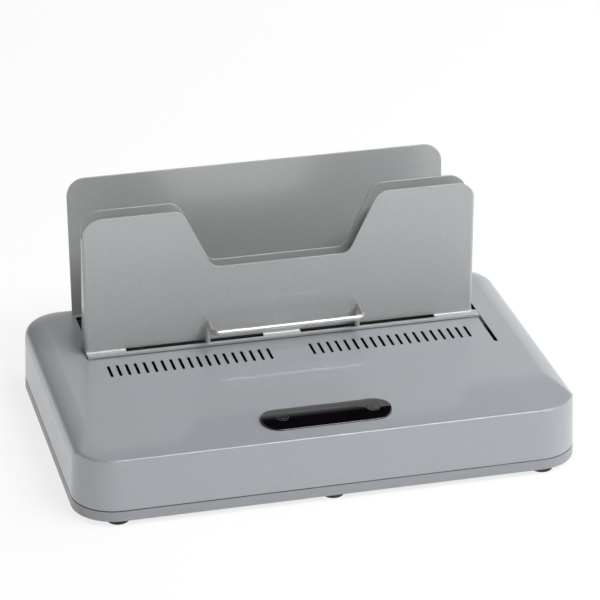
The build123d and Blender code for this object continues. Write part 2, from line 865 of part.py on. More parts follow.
bracket_screw_planes = [
    Plane(origin=(x, y, bracket_seat_z + bracket_foot_height)) for x, y in bracket_screw_places
]
save(screws_at(bracket_screw_planes, bracket_foot_height + bracket_pad_height), "bracket_screws")

# ---------------------------------------------------------------- front support
with BuildPart() as front_support:
    # front sheet and side returns, bent from one piece
    with BuildSketch(Plane.XY.offset(front_bottom)):
        depth = 2 * gusset_bottom + 4 * bend_radius
        with Locations((0, front_face_y + depth / 2)):
            RectangleRounded(front_width, depth, bend_radius)
        with Locations((0, front_face_y + sheet + depth / 2)):
            RectangleRounded(2 * gusset_inner, depth, bend_radius - sheet, mode=Mode.SUBTRACT)
    extrude(amount=front_top - front_bottom)
    # the returns taper into side gussets
    with BuildSketch(Plane.YZ):
        back = front_face_y + sheet
        gusset_end = front_top - gusset_drop
        with BuildLine():
            Polyline(
                (front_face_y - 1, front_bottom - 1),
                (back + gusset_bottom, front_bottom - 1),
                (back + gusset_bottom, front_bottom),
                (back + gusset_top, gusset_end),
                (back, gusset_end + gusset_top),
                (back, front_top + 1),
                (front_face_y - 1, front_top + 1),
                close=True,
            )
        make_face()
    extrude(amount=front_width, both=True, mode=Mode.INTERSECT)
    with BuildSketch(Plane.XZ):
        add(support_outline(front_half, front_bottom, True))
    extrude(amount=base_depth, both=True, mode=Mode.INTERSECT)
    # bottom flange with its raised lip
    with BuildSketch(Plane.YZ.offset(-flange_half)) as flange_section:
        with BuildLine():
            Polyline(
                (front_face_y + sheet, front_bottom),
                (flange_front, front_bottom),
                (flange_front, flange_top + lip_rise),
                (flange_front + lip_depth, flange_top + lip_rise),
                (flange_front + lip_depth, flange_top),
                (front_face_y, flange_top),
                (front_face_y, flange_top + 2),
                (front_face_y + sheet, flange_top + 2),
                close=True,
            )
        make_face()
        lip_corners = flange_section.vertices().group_by(Axis.Y)[0]
        fillet(lip_corners, lip_edge_radius)
        inner = flange_section.vertices().sort_by_distance(Vector(front_face_y, flange_top))[0]
        fillet(inner, 1.2)
    extrude(amount=2 * flange_half)
    # long slits along the bend
    with BuildSketch(Plane.XY.offset(front_bottom - 1)):
        with Locations(*[(side * (slit_near + slit_far) / 2, slit_y) for side in (-1, 1)]):
            Rectangle(slit_far - slit_near, slit_depth + sheet)
    extrude(amount=1 + sheet + slit_rise, mode=Mode.SUBTRACT)
    # ear and tongue that reach through the deck's guide slot
    with BuildSketch(Plane.XY.offset(front_bottom)):
        with Locations(((gusset_inner + carriage_inner) / 2, tongue_front + tongue_length / 2)):
            Rectangle(carriage_inner - gusset_inner, tongue_length)
    extrude(amount=sheet)
    with BuildSketch(Plane.YZ.offset(tongue_inner)):
        with Locations((tongue_front + tongue_length / 2, (flange_top + tongue_bottom) / 2)):
            Rectangle(tongue_length, flange_top - tongue_bottom)
        with Locations((tongue_front + tongue_length / 2, tongue_bottom + carriage_height / 2)):
            Rectangle(front_carriage_length, carriage_height)
        with Locations(*[(y, front_rod_z) for y in front_screw_y]):
            Circle(screw_radius + screw_clearance, mode=Mode.SUBTRACT)
    extrude(amount=sheet)
save(front_support.part, "front_support")

leg_y = front_face_y - handle_leg_setback
bar_y = leg_y - handle_reach
handle_z = deck_z + handle_height
bar_z = handle_z - handle_drop
leg_x = handle_width / 2
with BuildPart() as pull_handle:
    with BuildLine() as handle_path:
        FilletPolyline(
            (-leg_x, leg_y, flange_top),
            (-leg_x, leg_y, handle_z),
            (-leg_x, bar_y, bar_z),
            (leg_x, bar_y, bar_z),
            (leg_x, leg_y, handle_z),
            (leg_x, leg_y, flange_top),
            radius=handle_bend,
        )
    with BuildSketch(Plane(origin=(-leg_x, leg_y, flange_top))):
        Circle(wire_radius)
    sweep(path=handle_path.wires()[0])
save(pull_handle.part, "pull_handle")

with BuildPart() as glide_pads:
    with BuildSketch(Plane.XY.offset(deck_z + glide_clearance)):
        for side in (-1, 1):
            with Locations((side * (well_width / 2 + flange_half) / 2, glide_y)):
                Rectangle(flange_half - well_width / 2 - glide_inset, flange_depth - 2 * glide_inset)
    extrude(amount=front_lift - glide_clearance)
save(glide_pads.part, "glide_pads")

with BuildPart() as front_carriage:
    with BuildSketch(Plane.XZ.offset(-front_carriage_y - front_carriage_length)):
        with Locations(((carriage_inner + rod_x + carriage_width / 2) / 2, front_rod_z)):
            Rectangle(rod_x + carriage_width / 2 - carriage_inner, carriage_height)
        with Locations((rod_x, front_rod_z)):
            Circle(bore_radius, mode=Mode.SUBTRACT)
    extrude(amount=front_carriage_length)
    with BuildSketch(Plane.YZ.offset(carriage_inner)):
        with Locations(*[(y, front_rod_z) for y in front_screw_y]):
            Circle(pilot_radius)
    extrude(amount=front_screw_length, mode=Mode.SUBTRACT)
save(front_carriage.part, "front_carriage")

front_screw_planes = [
    Plane(origin=(carriage_inner - sheet, y, front_rod_z), z_dir=(-1, 0, 0)) for y in front_screw_y
]
save(screws_at(front_screw_planes, sheet + front_screw_length - 0.3), "front_carriage_screws")

# ---------------------------------------------------------------- middle support
middle_edge_z = deck_z + middle_lift
with BuildPart() as middle_support:
    add(bent_sheet(middle_face_y, middle_bottom, middle_edge_z, arm_end))
    with BuildSketch(Plane.XZ):
        add(support_outline(middle_half, middle_edge_z, True))
        with Locations((0, (middle_bottom + middle_edge_z) / 2)):
            Rectangle(2 * skirt_half, middle_edge_z - middle_bottom)
        with Locations((0, arm_screw_z)):
            Rectangle(2 * arm_end, arm_height)
        with Locations((-arm_screw_x, arm_screw_z), (arm_screw_x, arm_screw_z)):
            Circle(screw_radius + screw_clearance, mode=Mode.SUBTRACT)
    extrude(amount=base_depth, both=True, mode=Mode.INTERSECT)
save(middle_support.part, "middle_support")

for name, side in (("middle_carriage_left", -1), ("middle_carriage_right", 1)):
    inner = tray_half + tray_wall + middle_carriage_inset
    outer = rod_x + carriage_width / 2
    with BuildPart() as middle_carriage:
        with BuildSketch(Plane.XZ.offset(-middle_carriage_y - middle_carriage_length)):
            with Locations((side * (inner + outer) / 2, middle_rod_z)):
                Rectangle(outer - inner, carriage_height)
            with Locations((side * rod_x, middle_rod_z)):
                Circle(bore_radius, mode=Mode.SUBTRACT)
        extrude(amount=middle_carriage_length)
        with BuildSketch(Plane.XZ.offset(-middle_carriage_y)):
            with Locations((side * arm_screw_x, arm_screw_z)):
                Circle(pilot_radius)
        extrude(amount=-arm_screw_length, mode=Mode.SUBTRACT)
    save(middle_carriage.part, name)
middle_screw_planes = [
    Plane(origin=(side * arm_screw_x, middle_face_y, arm_screw_z), z_dir=(0, -1, 0))
    for side in (-1, 1)
]
save(screws_at(middle_screw_planes, sheet + arm_screw_length - 0.5), "middle_carriage_screws")

# ---------------------------------------------------------------- rear support
rear_edge_z = deck_z + deck_slot_clearance
rear_bottom = rear_edge_z - rear_tab_drop
with BuildPart() as rear_support:
    add(bent_sheet(rear_face_y, rear_bottom, rear_edge_z, rear_width / 2))
    with BuildSketch(Plane.XZ):
        add(support_outline(rear_width / 2, rear_edge_z, False))
        with Locations(*[(x, rear_edge_z - rear_tab_drop / 2) for x in rear_tabs]):
            Rectangle(rear_tab_width, rear_tab_drop)
        with Locations(*rear_screw_places):
            Circle(screw_radius + screw_clearance, mode=Mode.SUBTRACT)
    extrude(amount=base_depth, both=True, mode=Mode.INTERSECT)
save(rear_support.part, "rear_support")

rear_screw_planes = [
    Plane(origin=(x, rear_face_y + sheet, z), z_dir=(0, 1, 0)) for x, z in rear_screw_places
]
save(screws_at(rear_screw_planes, 3), "rear_support_screws")

# ---------------------------------------------------------------- control panel
dome_axis = panel_plane.offset(panel_rise - panel_roundness)
dome_section = Plane(origin=dome_axis.origin, x_dir=dome_axis.y_dir, z_dir=(1, 0, 0))
with BuildPart(mode=Mode.PRIVATE) as dome:
    with BuildSketch(dome_section):
        Circle(panel_roundness)
    extrude(amount=base_width, both=True)
panel_under = panel_plane.offset(-panel_seat)

with BuildPart() as control_panel:
    with BuildSketch(panel_under):
        SlotOverall(panel_length, panel_width)
    extrude(amount=panel_seat + panel_rise + 1)
    add(dome.part, mode=Mode.INTERSECT)
    rim_edges = control_panel.faces().sort_by(Axis.Z)[-1].edges()
    fillet(rim_edges, panel_rim_radius)
    # skirt that locates it in the casing's opening
    skirt_length = panel_length - 2 * panel_ledge - 2 * panel_gap
    skirt_width = panel_width - 2 * panel_ledge - 2 * panel_gap
    with BuildSketch(panel_under):
        SlotOverall(skirt_length, skirt_width)
        SlotOverall(
            skirt_length - 2 * panel_skirt_wall,
            skirt_width - 2 * panel_skirt_wall,
            mode=Mode.SUBTRACT,
        )
    extrude(amount=-panel_skirt_drop)
    with BuildSketch(panel_under):
        with Locations((-panel_boss_x, 0), (panel_boss_x, 0)):
            Circle(panel_boss_radius)
    extrude(amount=panel_seat - switch_board_drop)
    with BuildSketch(panel_plane.offset(-switch_board_drop)):
        with Locations((-panel_boss_x, 0), (panel_boss_x, 0)):
            Circle(pilot_radius)
    extrude(amount=6, mode=Mode.SUBTRACT)
    with BuildSketch(panel_plane.offset(-switch_board_drop)):
        with Locations((button_x, 0)):
            Circle(button_radius + button_gap)
        with Locations((indicator_x, 0)):
            Circle(indicator_radius + window_gap)
    extrude(amount=20, mode=Mode.SUBTRACT)
save(control_panel.part, "control_panel")


def panel_cap(x, radius, flange_radius, flange_top_drop):
    """A round piece that fills a hole of the panel, with a flange below it."""
    with BuildPart() as cap:
        with BuildSketch(panel_plane.offset(-panel_seat - flange_top_drop - light_flange_height)):
            with Locations((x, 0)):
                Circle(radius)
        extrude(amount=panel_seat + panel_rise + 4)
        add(dome.part, mode=Mode.INTERSECT)
        with BuildSketch(panel_plane.offset(-panel_seat - flange_top_drop)):
            with Locations((x, 0)):
                Circle(flange_radius)
        extrude(amount=-light_flange_height)
    return cap.part


board_face = panel_plane.offset(-switch_board_drop)
case_top = switch_board_drop - switch_height
with BuildPart() as power_button:
    add(panel_cap(button_x, button_radius, button_radius + light_flange, 0.1))
    with BuildSketch(panel_plane.offset(-panel_seat - 0.1 - light_flange_height)):
        with Locations((button_x, 0)):
            Circle(2.2)
    extrude(amount=-(case_top - plunger_rise - panel_seat - 0.1 - light_flange_height))
save(power_button.part, "power_button")

with BuildPart() as switch_plunger:
    with BuildSketch(panel_plane.offset(-case_top + plunger_rise)):
        with Locations((button_x, 0)):
            Circle(plunger_radius)
    extrude(amount=-plunger_rise - plunger_depth)
save(switch_plunger.part, "switch_plunger")

with BuildPart() as switch_case:
    with BuildSketch(board_face):
        with Locations((button_x, 0)):
            Rectangle(switch_side, switch_side)
    extrude(amount=switch_height)
    with BuildSketch(panel_plane.offset(-case_top)):
        with Locations((button_x, 0)):
            Circle(plunger_radius + plunger_gap)
    extrude(amount=-plunger_depth - button_travel - 0.3, mode=Mode.SUBTRACT)
save(switch_case.part, "switch_case")

with BuildPart() as indicator_lens:
    add(panel_cap(indicator_x, indicator_radius, indicator_radius + light_flange, 0))
save(indicator_lens.part, "indicator_lens")

with BuildPart() as indicator_light:
    with BuildSketch(board_face):
        with Locations((indicator_x, 0)):
            Circle(2.5)
    extrude(amount=light_height)
    fillet(indicator_light.faces().sort_by(Axis.Z)[-1].edges(), 2.2)
save(indicator_light.part, "indicator_light")

with BuildPart() as switch_board:
    with BuildSketch(board_face):
        RectangleRounded(switch_board_length, switch_board_width, 1)
        with Locations((-panel_boss_x, 0), (panel_boss_x, 0)):
            Circle(screw_radius + screw_clearance, mode=Mode.SUBTRACT)
    extrude(amount=-board_thickness)
save(switch_board.part, "switch_board")

switch_screw_planes = [
    Plane(
        origin=panel_plane.from_local_coords((x, 0, -switch_board_drop - board_thickness)),
        z_dir=-panel_plane.z_dir,
    )
    for x in (-panel_boss_x, panel_boss_x)
]
save(screws_at(switch_screw_planes, 6), "switch_board_screws")

# ---------------------------------------------------------------- control board
with BuildPart() as control_board:
    with BuildSketch(Plane.XY.offset(board_underside)):
        with Locations((board_x, board_y)):
            Rectangle(board_length, board_width)
        with Locations(*board_holes):
            Circle(screw_radius + screw_clearance, mode=Mode.SUBTRACT)
    extrude(amount=board_thickness)
save(control_board.part, "control_board")

board_screw_planes = [Plane(origin=(x, y, board_top)) for x, y in board_holes]
save(screws_at(board_screw_planes, board_thickness + 4), "board_screws")


def board_block(x, y, length, width, height):
    """A plain box standing on the control board."""
    with BuildPart() as block:
        with BuildSketch(Plane.XY.offset(board_top)):
            with Locations((x, y)):
                Rectangle(length, width)
        extrude(amount=height)
    return block.part


with BuildPart() as transformer:
    block_size = (transformer_length, transformer_width, transformer_height)
    add(board_block(board_x + transformer_step, board_y, *block_size))
    fillet(transformer.edges().filter_by(Axis.Z), 2.0)
    fillet(transformer.edges().group_by(Axis.Z)[-1], 1.0)
save(transformer.part, "transformer")

with BuildPart() as relay:
    relay_size = (relay_length, relay_width, relay_height)
    add(board_block(board_x + relay_step, board_y + relay_back_step, *relay_size))
    fillet(relay.edges().filter_by(Axis.Z), 1.0)
    chamfer(relay.edges().group_by(Axis.Z)[-1], 0.8)
save(relay.part, "relay")

sink_x = board_x + sink_step
fin_pitch = (sink_length - fin_thickness) / (fin_count - 1)
fin_y = board_y + (sink_base + fin_depth) / 2 - 0.5
with BuildPart() as heat_sink:
    add(board_block(sink_x, board_y, sink_length, sink_base, sink_height))
    for i in range(fin_count):
        fin_x = sink_x + (fin_thickness - sink_length) / 2 + fin_pitch * i
        add(board_block(fin_x, fin_y, fin_thickness, fin_depth, sink_height))
save(heat_sink.part, "heat_sink")

with BuildPart() as triac:
    triac_y = board_y - (sink_base + triac_thickness) / 2
    add(board_block(sink_x, triac_y, triac_width, triac_thickness, triac_height))
    chamfer(triac.edges().group_by(Axis.Z)[-1], 0.6)
save(triac.part, "triac")

with BuildPart() as capacitor:
    with BuildSketch(Plane.XY.offset(board_top)):
        with Locations((board_x + capacitor_step, board_y + capacitor_back_step)):
            Circle(capacitor_radius)
    extrude(amount=capacitor_height)
    fillet(capacitor.edges().group_by(Axis.Z)[-1], 1.0)
save(capacitor.part, "capacitor")

buzzer_place = (board_x + buzzer_step, board_y + buzzer_back_step)
with BuildPart() as buzzer:
    with BuildSketch(Plane.XY.offset(board_top)):
        with Locations(buzzer_place):
            Circle(buzzer_radius)
    extrude(amount=buzzer_height)
    with BuildSketch(Plane.XY.offset(board_top + buzzer_height)):
        with Locations(buzzer_place):
            Circle(buzzer_radius * 0.2)
    extrude(amount=-buzzer_height / 3, mode=Mode.SUBTRACT)
save(buzzer.part, "buzzer")

block_left = min(terminal_x) - terminal_margin
block_right = max(terminal_x) + terminal_margin
block_back = board_y + board_width / 2 - 0.5
with BuildPart() as terminal_block:
    add(
        board_block(
            (block_left + block_right) / 2,
            block_back - terminal_depth / 2,
            block_right - block_left,
            terminal_depth,
            terminal_height,
        )
    )
    with BuildSketch(Plane.XZ.offset(-block_back)):
        with Locations(*[(x, lead_z) for x in terminal_x]):
            Circle(lead_radius + 0.2)
    extrude(amount=4, mode=Mode.SUBTRACT)
save(terminal_block.part, "terminal_block")

# ---------------------------------------------------------------- power inlet
inlet_cavity = inlet_body_depth - inlet_wall
with BuildPart() as power_inlet:
    with BuildSketch(inlet_plane):
        RectangleRounded(inlet_flange_width, inlet_flange_height, 2)
    extrude(amount=inlet_flange)
    fillet(power_inlet.edges().group_by(Axis.Y)[-1], 0.5)
    with BuildSketch(inlet_plane):
        Rectangle(inlet_width, inlet_height)
    extrude(amount=-inlet_body_depth)
    # snap clips behind the casing's wall
    with BuildSketch(inlet_plane.offset(-inlet_clip_set)):
        Rectangle(inlet_width + 2 * inlet_clip, inlet_height / 3)
    extrude(amount=-2.5)
    # cavity for the plug, with two cut corners
    with BuildSketch(inlet_plane.offset(inlet_flange)) as cavity:
        Rectangle(inlet_width - 2 * inlet_wall, inlet_height - 2 * inlet_wall)
        chamfer(cavity.vertices().group_by(Axis.Y)[-1], 4.5)
    extrude(amount=-inlet_flange - inlet_cavity, mode=Mode.SUBTRACT)
    # holes of the pins through the back of the body
    with BuildSketch(inlet_plane):
        with Locations(*inlet_pin_places):
            Rectangle(inlet_blade_thickness, inlet_blade_width)
    extrude(amount=-inlet_body_depth, mode=Mode.SUBTRACT)
save(power_inlet.part, "power_inlet")

pins = []
for x, z in inlet_pin_places:
    with BuildPart() as pin:
        with BuildSketch(inlet_plane.offset(-2)):
            with Locations((x, z)):
                Rectangle(inlet_blade_thickness, inlet_blade_width)
        extrude(amount=2 - inlet_body_depth)
        # the tab behind the body goes down, then forward under the tray
        with BuildSketch(inlet_plane.offset(-inlet_body_depth)):
            with Locations((x, (z + inlet_blade_width / 2 + lead_z - inlet_z) / 2)):
                Rectangle(inlet_tab, z + inlet_blade_width / 2 - lead_z + inlet_z + tab_thickness)
        extrude(amount=-tab_thickness)
        with BuildSketch(Plane.XZ.offset(-inlet_back_y)):
            with Locations((inlet_x - x, lead_z)):
                Rectangle(inlet_tab, tab_thickness)
        extrude(amount=inlet_back_y - inlet_tab_y)
    pins.append(pin.part)
save(Compound(children=pins), "inlet_pins")


def lead(points, bend):
    """A round insulated wire along straight runs joined by arcs."""
    first = Vector(*points[0])
    second = Vector(*points[1])
    with BuildPart() as wire:
        with BuildLine() as path:
            if len(points) > 2:
                FilletPolyline(*points, radius=bend)
            else:
                Line(*points)
        with BuildSketch(Plane(origin=first, z_dir=second - first)):
            Circle(lead_radius)
        sweep(path=path.wires()[0])
    return wire.part


front_leads_y = block_back - 3.5
mains_leads = [
    lead(
        [
            (start, inlet_tab_y, lead_z),
            (start, turn, lead_z),
            (end, turn - lead_run, lead_z),
            (end, front_leads_y, lead_z),
        ],
        14,
    )
    for start, turn, end in zip(
        (inlet_lead_x[0], inlet_lead_x[2]),
        (well_front - lead_turn, well_front - lead_turn - lead_step),
        (terminal_x[4], terminal_x[5]),
    )
]
mains_leads.append(
    lead(
        [
            (inlet_lead_x[1], inlet_tab_y, lead_z),
            (inlet_lead_x[1], inlet_tab_y - 16, lead_z),
            (inlet_lead_x[1], inlet_tab_y - 16, tray_underside),
        ],
        2,
    )
)
save(Compound(children=mains_leads), "mains_leads")
thermostat_leads = [
    lead([(x, well_y - thermostat_radius - thermostat_tab, lead_z), (x, front_leads_y, lead_z)], 0)
    for x in thermostat_lead_x
]
save(Compound(children=thermostat_leads), "thermostat_leads")
heater_leads = [
    lead(
        [
            (terminal_x[0], front_leads_y, lead_z),
            (terminal_x[0], heater_lead_exits[0][1], lead_z),
            (terminal_x[0], heater_lead_exits[0][1], heater_bottom),
        ],
        4,
    ),
    lead([(fuse_x, front_leads_y, lead_z), (fuse_x, fuse_y - fuse_length / 2, lead_z)], 0),
    lead(
        [
            (fuse_x, fuse_y + fuse_length / 2, lead_z),
            (fuse_x, heater_lead_exits[1][1], lead_z),
            (fuse_x, heater_lead_exits[1][1], heater_bottom),
        ],
        4,
    ),
]
save(Compound(children=heater_leads), "heater_leads")

cable_y = panel_y + cable_setback
cable_top = panel_z - switch_board_drop - board_thickness - cable_gap
with BuildPart() as panel_cable:
    with BuildSketch(Plane.XY.offset(board_top)):
        with Locations((0, cable_y)):
            Rectangle(cable_width, 0.8)
    extrude(amount=cable_top - board_top)
save(panel_cable.part, "panel_cable")
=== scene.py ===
import json
import math

import bmesh
import bpy
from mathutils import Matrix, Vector


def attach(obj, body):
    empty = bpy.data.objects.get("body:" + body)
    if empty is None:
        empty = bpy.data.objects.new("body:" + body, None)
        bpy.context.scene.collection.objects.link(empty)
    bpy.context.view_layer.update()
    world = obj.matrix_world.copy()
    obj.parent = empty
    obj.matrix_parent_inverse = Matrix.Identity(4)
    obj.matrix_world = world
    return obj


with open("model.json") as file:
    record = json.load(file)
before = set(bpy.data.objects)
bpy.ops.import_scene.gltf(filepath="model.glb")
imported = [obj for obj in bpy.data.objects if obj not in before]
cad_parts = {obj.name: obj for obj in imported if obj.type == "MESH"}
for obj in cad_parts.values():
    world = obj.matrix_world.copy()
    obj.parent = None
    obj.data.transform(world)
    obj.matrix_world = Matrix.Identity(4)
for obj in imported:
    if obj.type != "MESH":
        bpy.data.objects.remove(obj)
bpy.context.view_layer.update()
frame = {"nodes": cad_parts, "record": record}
record = frame["record"]
scene = bpy.context.scene

# ---------------------------------------------------------------- camera
SENSOR = 36.0
FOCAL_PIXELS = 3090.70
FRAME_PIXELS = 600.0
CAMERA_AT = (-0.48857, -1.94426, 1.05085)
CAMERA_PITCH = 0.443845
CAMERA_YAW = 0.248608
NEAR_CLIP = 0.05
FAR_CLIP = 30.0

camera_data = bpy.data.cameras.new("camera")
camera_data.sensor_width = SENSOR
camera_data.lens = FOCAL_PIXELS / FRAME_PIXELS * SENSOR
camera_data.clip_start = NEAR_CLIP
camera_data.clip_end = FAR_CLIP
camera = bpy.data.objects.new("camera", camera_data)
camera.location = CAMERA_AT
camera.rotation_euler = (math.pi / 2 - CAMERA_PITCH, 0.0, -CAMERA_YAW)
scene.collection.objects.link(camera)
scene.camera = camera
scene.view_settings.view_transform = "Standard"


# ---------------------------------------------------------------- node helpers
class Wiring:
    """Adds nodes to a tree and joins them."""

    def __init__(self, tree):
        self.tree = tree
        self.nodes = tree.nodes

    def join(self, value, socket):
        """Lead a node's output to a socket, or set the socket to a number, vector or colour."""
        if isinstance(value, bpy.types.NodeSocket):
            self.tree.links.new(value, socket)
        elif socket.type == "RGBA":
            socket.default_value = (*value, 1.0)
        else:
            socket.default_value = value

    def math(self, operation, a, b):
        node = self.nodes.new("ShaderNodeMath")
        node.operation = operation
        self.join(a, node.inputs[0])
        self.join(b, node.inputs[1])
        return node.outputs["Value"]

    def remap(self, value, low, high, start=0.3, end=0.7, curve="LINEAR"):
        """A value that runs from start to end, brought to run from low to high."""
        node = self.nodes.new("ShaderNodeMapRange")
        node.interpolation_type = curve
        self.join(start, node.inputs["From Min"])
        self.join(end, node.inputs["From Max"])
        self.join(low, node.inputs["To Min"])
        self.join(high, node.inputs["To Max"])
        self.join(value, node.inputs["Value"])
        return node.outputs["Result"]


class Graph(Wiring):
    """The wiring of one material."""

    def __init__(self, name):
        self.material = bpy.data.materials.new(name)
        self.material.use_nodes = True
        super().__init__(self.material.node_tree)
        self.shader = self.nodes["Principled BSDF"]
        self.output = self.nodes["Material Output"]
        self.coords = self.nodes.new("ShaderNodeTexCoord").outputs["Object"]

    def shade_with(self, **values):
        """Join values to the shader's sockets, named with _ for a space."""
        for name, value in values.items():
            self.join(value, self.shader.inputs[name.replace("_", " ")])

    def noise(self, scale, detail=3.0, roughness=0.5, stretch=None):
        node = self.nodes.new("ShaderNodeTexNoise")
        self.join(scale, node.inputs["Scale"])
        self.join(detail, node.inputs["Detail"])
        self.join(roughness, node.inputs["Roughness"])
        place = self.coords
        if stretch is not None:
            mapping = self.nodes.new("ShaderNodeMapping")
            self.join(stretch, mapping.inputs["Scale"])
            self.join(self.coords, mapping.inputs["Vector"])
            place = mapping.outputs["Vector"]
        self.join(place, node.inputs["Vector"])
        return node.outputs["Fac"]

    def mix(self, factor, a, b, blend="MIX"):
        node = self.nodes.new("ShaderNodeMix")
        node.data_type = "RGBA"
        node.blend_type = blend
        self.join(factor, node.inputs["Factor"])
        self.join(a, node.inputs["A"])
        self.join(b, node.inputs["B"])
        return node.outputs["Result"]

    def vector_math(self, operation, a, b=None):
        node = self.nodes.new("ShaderNodeVectorMath")
        node.operation = operation
        self.join(a, node.inputs[0])
        if b is not None:
            self.join(b, node.inputs[1])
        return node.outputs["Vector"]

    def within(self, low, high):
        """1 inside the box from low to high, in metres, and 0 outside it."""
        centre = [(a + b) / 2 for a, b in zip(low, high)]
        half = [(b - a) / 2 for a, b in zip(low, high)]
        offset = self.vector_math("SUBTRACT", self.coords, centre)
        past = self.vector_math("SUBTRACT", self.vector_math("ABSOLUTE", offset), half)
        parts = self.nodes.new("ShaderNodeSeparateXYZ")
        self.join(past, parts.inputs[0])
        x, y, z = parts.outputs
        return self.math("LESS_THAN", self.math("MAXIMUM", self.math("MAXIMUM", x, y), z), 0.0)

    def within_any(self, boxes):
        inside = self.within(*boxes[0])
        for box in boxes[1:]:
            inside = self.math("MAXIMUM", inside, self.within(*box))
        return inside

    def rounded(self, radius, samples):
        """Normals rounded over a radius at every edge."""
        bevel = self.nodes.new("ShaderNodeBevel")
        bevel.samples = samples
        self.join(radius, bevel.inputs["Radius"])
        return bevel.outputs["Normal"]

    def softened(self, radius, boxes):
        """Normals rounded over a radius inside the boxes, and left alone outside them."""
        blend = self.nodes.new("ShaderNodeMix")
        blend.data_type = "VECTOR"
        self.join(self.within_any(boxes), blend.inputs["Factor"])
        self.join(self.nodes.new("ShaderNodeNewGeometry").outputs["Normal"], blend.inputs["A"])
        self.join(self.rounded(radius, SOFT_SAMPLES), blend.inputs["B"])
        return blend.outputs["Result"]

    def bump(self, height, strength, distance, normal=None):
        node = self.nodes.new("ShaderNodeBump")
        self.join(strength, node.inputs["Strength"])
        self.join(distance, node.inputs["Distance"])
        self.join(height, node.inputs["Height"])
        if normal is not None:
            self.join(normal, node.inputs["Normal"])
        return node.outputs["Normal"]


# ---------------------------------------------------------------- materials
EDGE_SAMPLES = 4
SOFT_SAMPLES = 6
GRAIN_DEPTH = 0.00005
LEAST_ROUGHNESS = 0.02
GLOSS_PITCH = 3.0  # how much finer than the colour the gloss varies
FLAKE_PITCH = 1.7  # bright flecks, finer than the grain
FLAKE_RANGE = (0.46, 0.60)
SPECK_PITCH = 1.1  # dark flecks
SPECK_RANGE = (0.54, 0.40)
# Near-black painted shade for the casings' inner faces, seen through the well and the slots.
INSIDE_PAINTED_SHADE = (0.012, 0.012, 0.013)
INSIDE_ROUGHNESS = 0.75
# How dark the painted shade in the parting groove is, as a share of the colour.
GROOVE_PAINTED_SHADE = 0.28
GROOVE_ROUGHNESS = 0.8


def shade(color, factor):
    return tuple(min(1.0, c * factor) for c in color)


def flecked(graph, tone, color, amount, scale):
    """Bright flakes laid over a tone, and dark specks multiplied into it."""
    flakes = graph.remap(graph.noise(scale * FLAKE_PITCH, 1.0), 0.0, 1.0, *FLAKE_RANGE)
    tone = graph.mix(flakes, tone, shade(color, 1.0 + amount))
    specks = graph.remap(graph.noise(scale * SPECK_PITCH, 1.0), 0.0, 1.0, *SPECK_RANGE)
    return graph.mix(amount, tone, specks, "MULTIPLY")


def painted_shade_and_dull(graph, boxes, tone, gloss, color, roughness):
    """Painted shade: the tone and gloss with a darker colour and a rough finish inside the boxes."""
    inside = graph.within_any(boxes)
    rough = graph.math("MAXIMUM", gloss, graph.math("MULTIPLY", inside, roughness))
    return graph.mix(inside, tone, color), rough


def surface(
    name,
    color,
    roughness,
    metallic=0.0,
    coat=0.0,
    coat_roughness=0.12,
    vary=0.04,
    vary_scale=18.0,
    rough_vary=0.05,
    grain_scale=2500.0,
    grain=0.1,
    stretch=None,
    fleck=0.0,
    edge=0.0,
    painted_inner_shade=None,
    painted_groove_shade=None,
    soft=None,
):
    """A procedural material: slow colour drift, uneven gloss, fine grain, flecks, and painted shade
    inside given boxes.
    """
    graph = Graph(name)
    drift = graph.remap(graph.noise(vary_scale, 4.0), 0.0, 1.0)
    tone = graph.mix(drift, shade(color, 1.0 - vary), shade(color, 1.0 + vary))
    if fleck > 0.0:
        tone = flecked(graph, tone, color, fleck, grain_scale)
    gloss = graph.remap(
        graph.noise(vary_scale * GLOSS_PITCH, 5.0, 0.6),
        max(LEAST_ROUGHNESS, roughness - rough_vary),
        min(1.0, roughness + rough_vary),
    )
    # Painted shade: the inner faces are coloured near-black and made rough.
    if painted_inner_shade is not None:
        tone, gloss = painted_shade_and_dull(graph, painted_inner_shade, tone, gloss, INSIDE_PAINTED_SHADE, INSIDE_ROUGHNESS)
    # Painted shade: the parting groove is coloured darker and made rough.
    if painted_groove_shade is not None:
        tone, gloss = painted_shade_and_dull(graph, painted_groove_shade, tone, gloss, shade(color, GROOVE_PAINTED_SHADE), GROOVE_ROUGHNESS)
    normal = None
    if edge > 0.0:
        normal = graph.rounded(edge, EDGE_SAMPLES)
    if soft is not None:
        normal = graph.softened(*soft)
    height = graph.noise(grain_scale, 2.0, 0.5, stretch)
    graph.shade_with(
        Base_Color=tone,
        Roughness=gloss,
        Metallic=metallic,
        Coat_Weight=coat,
        Coat_Roughness=coat_roughness,
        Normal=graph.bump(height, grain, GRAIN_DEPTH, normal),
    )
    return graph.material


def pebbled(name, dark, light, pitch):
    """A dark lens moulded with small round pebbles."""
    graph = Graph(name)
    cells = graph.nodes.new("ShaderNodeTexVoronoi")
    graph.join(1.0 / pitch, cells.inputs["Scale"])
    graph.join(0.8, cells.inputs["Randomness"])
    graph.join(graph.coords, cells.inputs["Vector"])
    distance = cells.outputs["Distance"]
    graph.shade_with(
        Base_Color=graph.mix(graph.remap(distance, 1.0, 0.0, 0.15, 0.6), dark, light),
        Roughness=graph.remap(graph.noise(400.0), 0.22, 0.34),
        Coat_Weight=0.2,
        Normal=graph.bump(graph.remap(distance, 1.0, 0.0, 0.0, 0.7), 0.8, 0.0003),
    )
    return graph.material


def glowing(material, color, strength):
    shader = material.node_tree.nodes["Principled BSDF"]
    shader.inputs["Emission Color"].default_value = (*color, 1.0)
    shader.inputs["Emission Strength"].default_value = strength
    return material


def even_box(half_width, front, back, bottom, top):
    """A box that reaches as far to the left as to the right, as its two corners."""
    return (-half_width, front, bottom), (half_width, back, top)
